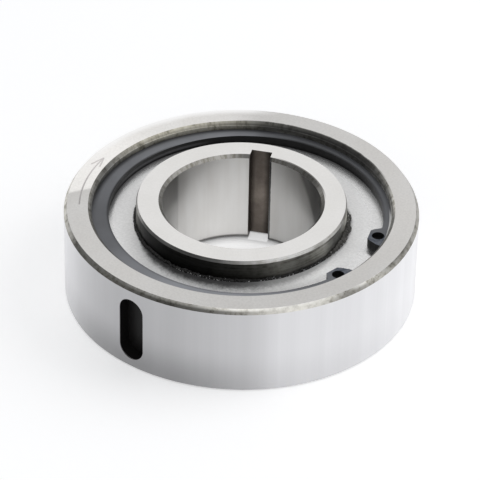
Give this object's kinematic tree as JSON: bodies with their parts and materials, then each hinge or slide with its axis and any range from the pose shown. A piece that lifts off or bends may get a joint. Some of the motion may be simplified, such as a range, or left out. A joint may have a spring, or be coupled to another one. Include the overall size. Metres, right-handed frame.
{
  "type": "sprag clutch",
  "caption": "Caged sprag one-way clutch: keyed inner ring turns freely one way inside a wide keyed outer ring, with end plates held by circlips.",
  "frame": {"origin": "centre of the outer ring's rear face, on the bore's axis", "axes": "+Z along the bore towards the face with the direction arrow; -Y through the middle of the outer ring's key slot"},
  "size_m": [0.1, 0.1, 0.0286],
  "materials": {
    "ring_steel": "ground, satin",
    "plate_steel": "fine turned, a little brighter than the rings",
    "clip_steel": "dark blue-grey phosphate spring steel",
    "cage_steel": "pressed, plain",
    "spring_steel": "drawn wire",
    "sprag_steel": "ground and polished"
  },
  "bodies": {
    "housing": {"outer_ring": "ring_steel", "front_end_plate": "plate_steel", "rear_end_plate": "plate_steel", "front_circlip": "clip_steel", "rear_circlip": "clip_steel", "sprag_cage": "cage_steel", "front_garter_spring": "spring_steel", "rear_garter_spring": "spring_steel"},
    "hub": {"inner_ring": "ring_steel"},
    "sprag_01": {"sprag_01": "sprag_steel"},
    "sprag_02": {"sprag_02": "sprag_steel"},
    "sprag_03": {"sprag_03": "sprag_steel"},
    "sprag_04": {"sprag_04": "sprag_steel"},
    "sprag_05": {"sprag_05": "sprag_steel"},
    "sprag_06": {"sprag_06": "sprag_steel"},
    "sprag_07": {"sprag_07": "sprag_steel"},
    "sprag_08": {"sprag_08": "sprag_steel"},
    "sprag_09": {"sprag_09": "sprag_steel"},
    "sprag_10": {"sprag_10": "sprag_steel"},
    "sprag_11": {"sprag_11": "sprag_steel"},
    "sprag_12": {"sprag_12": "sprag_steel"},
    "sprag_13": {"sprag_13": "sprag_steel"},
    "sprag_14": {"sprag_14": "sprag_steel"},
    "sprag_15": {"sprag_15": "sprag_steel"},
    "sprag_16": {"sprag_16": "sprag_steel"},
    "sprag_17": {"sprag_17": "sprag_steel"},
    "sprag_18": {"sprag_18": "sprag_steel"},
    "sprag_19": {"sprag_19": "sprag_steel"},
    "sprag_20": {"sprag_20": "sprag_steel"},
    "sprag_21": {"sprag_21": "sprag_steel"},
    "sprag_22": {"sprag_22": "sprag_steel"},
    "sprag_23": {"sprag_23": "sprag_steel"},
    "sprag_24": {"sprag_24": "sprag_steel"}
  },
  "joints": [
    {"name": "hub_turn", "type": "hinge", "parent": "housing", "child": "hub", "pos_m": [0, 0, 0.0135], "axis": [0, 0, 1], "range_deg": [0, 480]},
    {"name": "sprag_01_tilt", "type": "hinge", "parent": "housing", "child": "sprag_01", "pos_m": [0.03585, 0, 0.0135], "axis": [0, 0, -1], "range_deg": [0, 6], "stiffness_Nm_per_rad": 0.002},
    {"name": "sprag_02_tilt", "type": "hinge", "parent": "housing", "child": "sprag_02", "pos_m": [0.03463, 0.00928, 0.0135], "axis": [0, 0, -1], "range_deg": [0, 6], "stiffness_Nm_per_rad": 0.002},
    {"name": "sprag_03_tilt", "type": "hinge", "parent": "housing", "child": "sprag_03", "pos_m": [0.03105, 0.01792, 0.0135], "axis": [0, 0, -1], "range_deg": [0, 6], "stiffness_Nm_per_rad": 0.002},
    {"name": "sprag_04_tilt", "type": "hinge", "parent": "housing", "child": "sprag_04", "pos_m": [0.02535, 0.02535, 0.0135], "axis": [0, 0, -1], "range_deg": [0, 6], "stiffness_Nm_per_rad": 0.002},
    {"name": "sprag_05_tilt", "type": "hinge", "parent": "housing", "child": "sprag_05", "pos_m": [0.01792, 0.03105, 0.0135], "axis": [0, 0, -1], "range_deg": [0, 6], "stiffness_Nm_per_rad": 0.002},
    {"name": "sprag_06_tilt", "type": "hinge", "parent": "housing", "child": "sprag_06", "pos_m": [0.00928, 0.03463, 0.0135], "axis": [0, 0, -1], "range_deg": [0, 6], "stiffness_Nm_per_rad": 0.002},
    {"name": "sprag_07_tilt", "type": "hinge", "parent": "housing", "child": "sprag_07", "pos_m": [0, 0.03585, 0.0135], "axis": [0, 0, -1], "range_deg": [0, 6], "stiffness_Nm_per_rad": 0.002},
    {"name": "sprag_08_tilt", "type": "hinge", "parent": "housing", "child": "sprag_08", "pos_m": [-0.00928, 0.03463, 0.0135], "axis": [0, 0, -1], "range_deg": [0, 6], "stiffness_Nm_per_rad": 0.002},
    {"name": "sprag_09_tilt", "type": "hinge", "parent": "housing", "child": "sprag_09", "pos_m": [-0.01792, 0.03105, 0.0135], "axis": [0, 0, -1], "range_deg": [0, 6], "stiffness_Nm_per_rad": 0.002},
    {"name": "sprag_10_tilt", "type": "hinge", "parent": "housing", "child": "sprag_10", "pos_m": [-0.02535, 0.02535, 0.0135], "axis": [0, 0, -1], "range_deg": [0, 6], "stiffness_Nm_per_rad": 0.002},
    {"name": "sprag_11_tilt", "type": "hinge", "parent": "housing", "child": "sprag_11", "pos_m": [-0.03105, 0.01792, 0.0135], "axis": [0, 0, -1], "range_deg": [0, 6], "stiffness_Nm_per_rad": 0.002},
    {"name": "sprag_12_tilt", "type": "hinge", "parent": "housing", "child": "sprag_12", "pos_m": [-0.03463, 0.00928, 0.0135], "axis": [0, 0, -1], "range_deg": [0, 6], "stiffness_Nm_per_rad": 0.002},
    {"name": "sprag_13_tilt", "type": "hinge", "parent": "housing", "child": "sprag_13", "pos_m": [-0.03585, 0, 0.0135], "axis": [0, 0, -1], "range_deg": [0, 6], "stiffness_Nm_per_rad": 0.002},
    {"name": "sprag_14_tilt", "type": "hinge", "parent": "housing", "child": "sprag_14", "pos_m": [-0.03463, -0.00928, 0.0135], "axis": [0, 0, -1], "range_deg": [0, 6], "stiffness_Nm_per_rad": 0.002},
    {"name": "sprag_15_tilt", "type": "hinge", "parent": "housing", "child": "sprag_15", "pos_m": [-0.03105, -0.01792, 0.0135], "axis": [0, 0, -1], "range_deg": [0, 6], "stiffness_Nm_per_rad": 0.002},
    {"name": "sprag_16_tilt", "type": "hinge", "parent": "housing", "child": "sprag_16", "pos_m": [-0.02535, -0.02535, 0.0135], "axis": [0, 0, -1], "range_deg": [0, 6], "stiffness_Nm_per_rad": 0.002},
    {"name": "sprag_17_tilt", "type": "hinge", "parent": "housing", "child": "sprag_17", "pos_m": [-0.01792, -0.03105, 0.0135], "axis": [0, 0, -1], "range_deg": [0, 6], "stiffness_Nm_per_rad": 0.002},
    {"name": "sprag_18_tilt", "type": "hinge", "parent": "housing", "child": "sprag_18", "pos_m": [-0.00928, -0.03463, 0.0135], "axis": [0, 0, -1], "range_deg": [0, 6], "stiffness_Nm_per_rad": 0.002},
    {"name": "sprag_19_tilt", "type": "hinge", "parent": "housing", "child": "sprag_19", "pos_m": [0, -0.03585, 0.0135], "axis": [0, 0, -1], "range_deg": [0, 6], "stiffness_Nm_per_rad": 0.002},
    {"name": "sprag_20_tilt", "type": "hinge", "parent": "housing", "child": "sprag_20", "pos_m": [0.00928, -0.03463, 0.0135], "axis": [0, 0, -1], "range_deg": [0, 6], "stiffness_Nm_per_rad": 0.002},
    {"name": "sprag_21_tilt", "type": "hinge", "parent": "housing", "child": "sprag_21", "pos_m": [0.01792, -0.03105, 0.0135], "axis": [0, 0, -1], "range_deg": [0, 6], "stiffness_Nm_per_rad": 0.002},
    {"name": "sprag_22_tilt", "type": "hinge", "parent": "housing", "child": "sprag_22", "pos_m": [0.02535, -0.02535, 0.0135], "axis": [0, 0, -1], "range_deg": [0, 6], "stiffness_Nm_per_rad": 0.002},
    {"name": "sprag_23_tilt", "type": "hinge", "parent": "housing", "child": "sprag_23", "pos_m": [0.03105, -0.01792, 0.0135], "axis": [0, 0, -1], "range_deg": [0, 6], "stiffness_Nm_per_rad": 0.002},
    {"name": "sprag_24_tilt", "type": "hinge", "parent": "housing", "child": "sprag_24", "pos_m": [0.03463, -0.00928, 0.0135], "axis": [0, 0, -1], "range_deg": [0, 6], "stiffness_Nm_per_rad": 0.002}
  ],
  "couplings": [
    {"joint": "sprag_02_tilt", "follows": "sprag_01_tilt", "ratio": 1},
    {"joint": "sprag_03_tilt", "follows": "sprag_01_tilt", "ratio": 1},
    {"joint": "sprag_04_tilt", "follows": "sprag_01_tilt", "ratio": 1},
    {"joint": "sprag_05_tilt", "follows": "sprag_01_tilt", "ratio": 1},
    {"joint": "sprag_06_tilt", "follows": "sprag_01_tilt", "ratio": 1},
    {"joint": "sprag_07_tilt", "follows": "sprag_01_tilt", "ratio": 1},
    {"joint": "sprag_08_tilt", "follows": "sprag_01_tilt", "ratio": 1},
    {"joint": "sprag_09_tilt", "follows": "sprag_01_tilt", "ratio": 1},
    {"joint": "sprag_10_tilt", "follows": "sprag_01_tilt", "ratio": 1},
    {"joint": "sprag_11_tilt", "follows": "sprag_01_tilt", "ratio": 1},
    {"joint": "sprag_12_tilt", "follows": "sprag_01_tilt", "ratio": 1},
    {"joint": "sprag_13_tilt", "follows": "sprag_01_tilt", "ratio": 1},
    {"joint": "sprag_14_tilt", "follows": "sprag_01_tilt", "ratio": 1},
    {"joint": "sprag_15_tilt", "follows": "sprag_01_tilt", "ratio": 1},
    {"joint": "sprag_16_tilt", "follows": "sprag_01_tilt", "ratio": 1},
    {"joint": "sprag_17_tilt", "follows": "sprag_01_tilt", "ratio": 1},
    {"joint": "sprag_18_tilt", "follows": "sprag_01_tilt", "ratio": 1},
    {"joint": "sprag_19_tilt", "follows": "sprag_01_tilt", "ratio": 1},
    {"joint": "sprag_20_tilt", "follows": "sprag_01_tilt", "ratio": 1},
    {"joint": "sprag_21_tilt", "follows": "sprag_01_tilt", "ratio": 1},
    {"joint": "sprag_22_tilt", "follows": "sprag_01_tilt", "ratio": 1},
    {"joint": "sprag_23_tilt", "follows": "sprag_01_tilt", "ratio": 1},
    {"joint": "sprag_24_tilt", "follows": "sprag_01_tilt", "ratio": 1}
  ]
}
